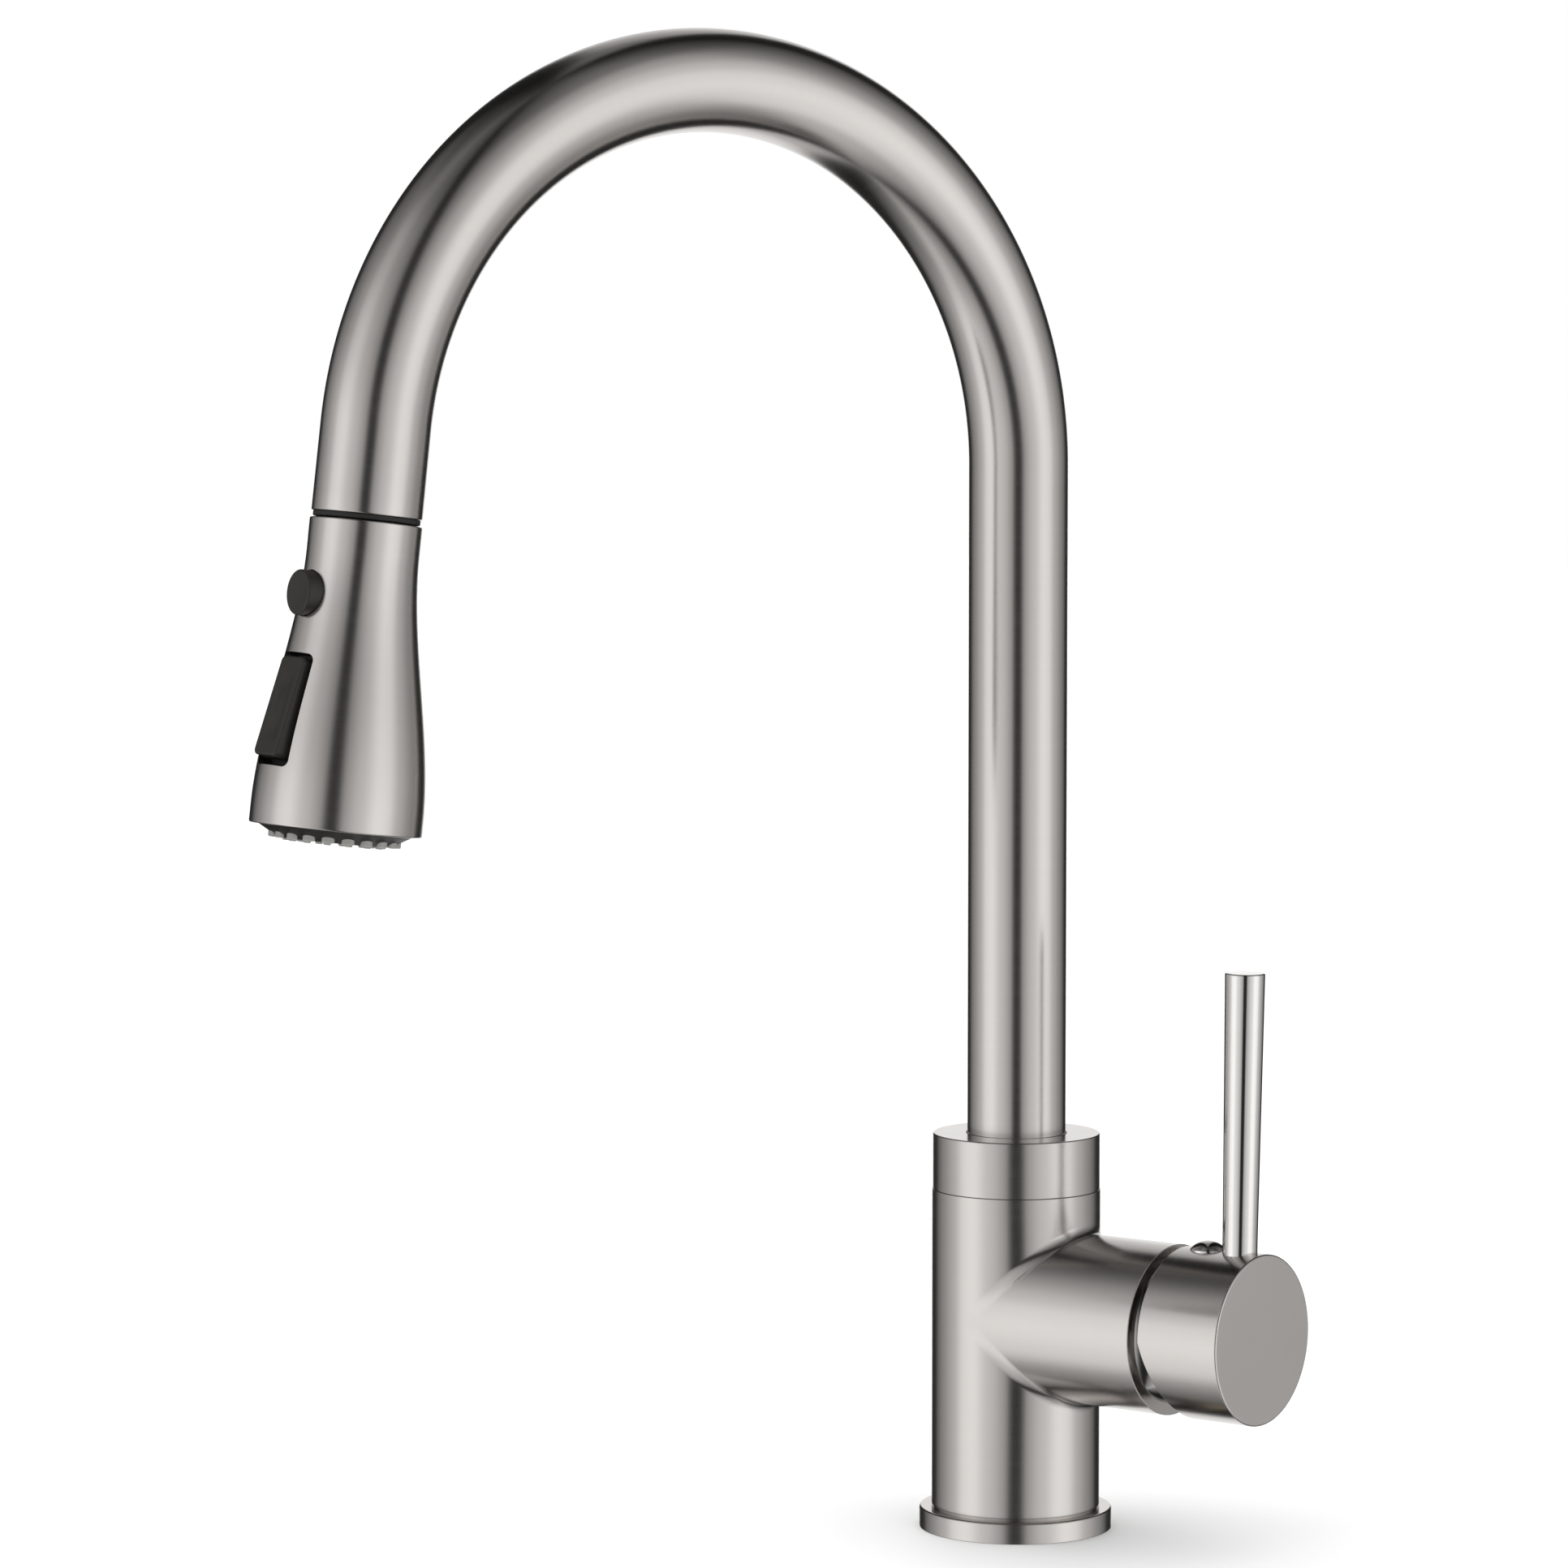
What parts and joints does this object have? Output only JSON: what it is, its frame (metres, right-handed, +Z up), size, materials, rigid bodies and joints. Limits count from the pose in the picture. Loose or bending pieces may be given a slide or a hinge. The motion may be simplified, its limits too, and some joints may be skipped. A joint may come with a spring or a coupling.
{
  "type": "pull-down kitchen faucet",
  "caption": "Single-hole kitchen faucet with a swivelling gooseneck spout, a side lever and a pull-down spray head with a mode rocker and a pause button.",
  "frame": {"origin": "centre of the base flange's underside, on the deck surface", "axes": "+Z up along the column, +X along the valve barrel towards the handle, -Y towards the sink"},
  "size_m": [0.1752, 0.2623, 0.5008],
  "materials": {
    "brushed_nickel": "satin, fine brushed lines, warm grey",
    "polished_nickel": "bright polished",
    "steel": "machined",
    "brass": "machined",
    "black_plastic": "fine matte moulded",
    "acetal": "smooth moulded",
    "ceramic": "lapped ceramic",
    "black_rubber": "matte",
    "silicone": "soft matte light grey",
    "hose_braid": "fine nylon braid"
  },
  "bodies": {
    "base": {"base_flange": "brushed_nickel", "base_gasket": "black_rubber", "body": "brushed_nickel", "retaining_collar": "brushed_nickel", "swivel_bush": "acetal", "thrust_washers": "acetal", "threaded_shank": "steel", "rubber_washer": "black_rubber", "clamp_washer": "steel", "mounting_nut": "brass", "nut_screws": "steel", "hose_connector": "brass", "cartridge_housing": "acetal", "cartridge_seals": "black_rubber", "fixed_disc": "ceramic", "cartridge_nut": "brass", "dome_cover": "polished_nickel"},
    "rotor": {"cartridge_rotor": "acetal", "stem_pin": "steel"},
    "disc": {"moving_disc": "ceramic", "disc_carrier": "acetal"},
    "handle": {"cartridge_stem": "steel", "handle_cap": "brushed_nickel", "lever": "polished_nickel", "set_screw": "steel", "indicator_plug": "polished_nickel"},
    "spout": {"spout_tube": "brushed_nickel", "swivel_nipple": "brass", "swivel_o_rings": "black_rubber", "split_ring": "steel", "dock_bush": "black_plastic", "dock_gasket": "black_rubber", "spray_hose": "hose_braid"},
    "hose_end": {"hose_ferrule": "steel", "swivel_tail": "brass", "tail_seal": "black_rubber"},
    "head": {"head_shell": "brushed_nickel", "head_core": "black_plastic", "check_valve": "acetal", "filter_screen": "steel", "nozzle_plate": "black_plastic", "nozzle_mat": "silicone", "aerator": "steel", "nozzle_seal": "black_rubber", "rocker_pin": "steel", "pause_spring": "steel"},
    "diverter": {"diverter_spool": "acetal"},
    "rocker": {"mode_rocker": "black_plastic"},
    "button": {"pause_button": "black_plastic", "pause_valve": "steel"}
  },
  "joints": [
    {"name": "spout_swivel", "type": "hinge", "parent": "base", "child": "spout", "pos_m": [0, 0, 0.1], "axis": [0, 0, 1], "continuous": true},
    {"name": "temperature_turn", "type": "hinge", "parent": "base", "child": "rotor", "pos_m": [0.044, 0, 0.0623], "axis": [1, 0, 0], "range_deg": [-45, 45]},
    {"name": "lever_lift", "type": "hinge", "parent": "rotor", "child": "handle", "pos_m": [0.044, 0, 0.0623], "axis": [0, 1, 0], "range_deg": [0, 20]},
    {"name": "disc_slide", "type": "slide", "parent": "rotor", "child": "disc", "axis": [0, 0, 1], "range_m": [0, 0.0024]},
    {"name": "spray_pull", "type": "slide", "parent": "spout", "child": "hose_end", "axis": [-0.0377, -0.1159, -0.9925], "range_m": [0, 0.18], "deforming": ["spray_hose"]},
    {"name": "head_twist", "type": "hinge", "parent": "hose_end", "child": "head", "pos_m": [-0.06585, -0.20265, 0.29293], "axis": [-0.0377, -0.1159, -0.9925], "continuous": true},
    {"name": "mode_rocker_tilt", "type": "hinge", "parent": "head", "child": "rocker", "pos_m": [-0.07185, -0.22113, 0.24149], "axis": [0.9511, -0.309, 0], "range_deg": [0, 8]},
    {"name": "diverter_slide", "type": "slide", "parent": "head", "child": "diverter", "axis": [0.0377, 0.1159, 0.9925], "range_m": [0, 0.0013]},
    {"name": "pause_press", "type": "slide", "parent": "head", "child": "button", "axis": [0.3067, 0.944, -0.1219], "range_m": [0, 0.002], "stiffness_N_per_m": 600, "springref_m": -0.002, "deforming": ["pause_spring"]}
  ],
  "couplings": [
    {"joint": "disc_slide", "follows": "lever_lift", "m_per_rad": 0.0068},
    {"joint": "diverter_slide", "follows": "mode_rocker_tilt", "m_per_rad": 0.008515}
  ]
}
